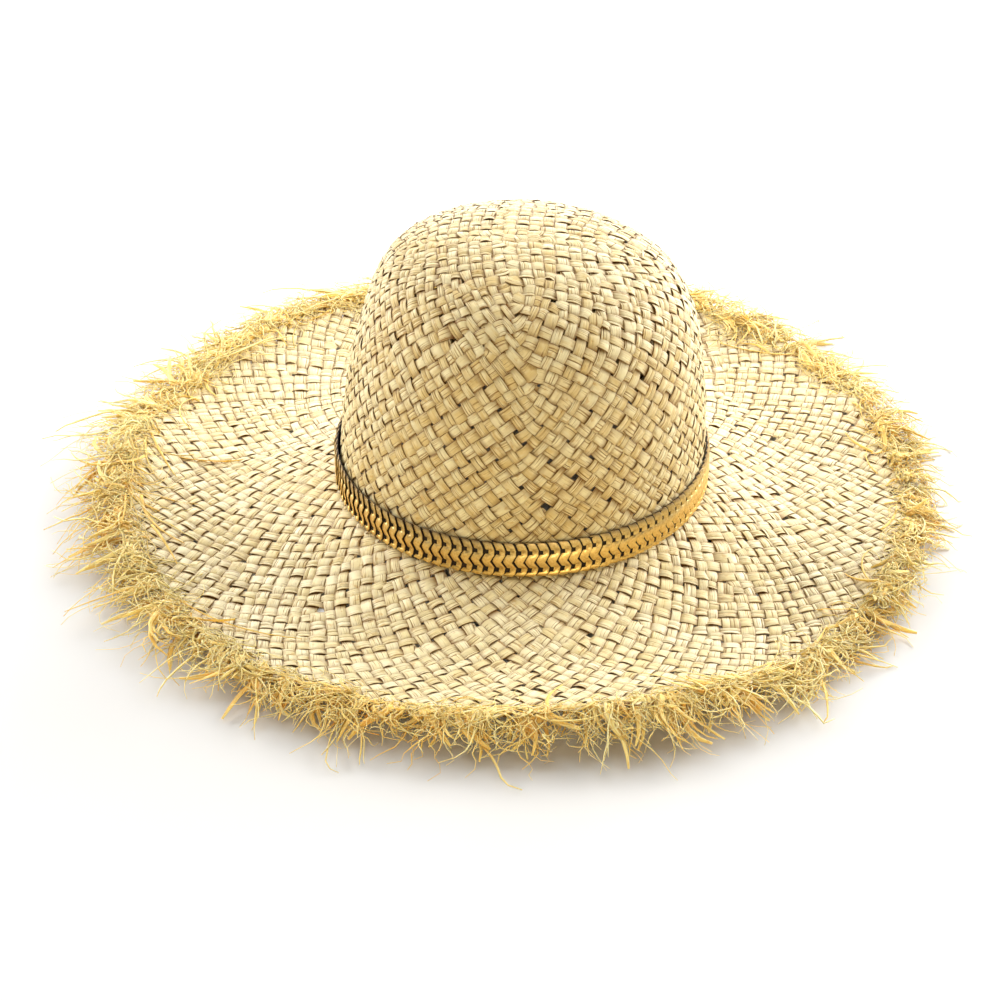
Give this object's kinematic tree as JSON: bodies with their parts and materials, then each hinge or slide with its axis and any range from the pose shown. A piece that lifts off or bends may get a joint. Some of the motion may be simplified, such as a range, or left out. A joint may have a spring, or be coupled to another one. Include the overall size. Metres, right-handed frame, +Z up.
{
  "type": "floppy straw hat",
  "caption": "Wide-brimmed floppy hat of woven straw strips with an open domed crown, a raw frayed brim edge and a zigzag metal chain round the crown's foot.",
  "frame": {"origin": "under the middle of the hat's outline, on the surface that it lies on", "axes": "+Z up through the crown, -Y towards the front of the hat"},
  "size_m": [0.4634, 0.4704, 0.1453],
  "materials": {
    "straw_crown": "matt to satin woven straw strips, pale tan",
    "straw_brim": "matt to satin woven straw strips, pale cream",
    "straw_fringe": "matt frayed straw ends, golden",
    "chain_metal": "aged gold metal with dark brown edges"
  },
  "bodies": {
    "root": {"crown": "straw_crown", "brim": "straw_brim", "fringe": "straw_fringe", "chain_band": "chain_metal"}
  },
  "joints": []
}
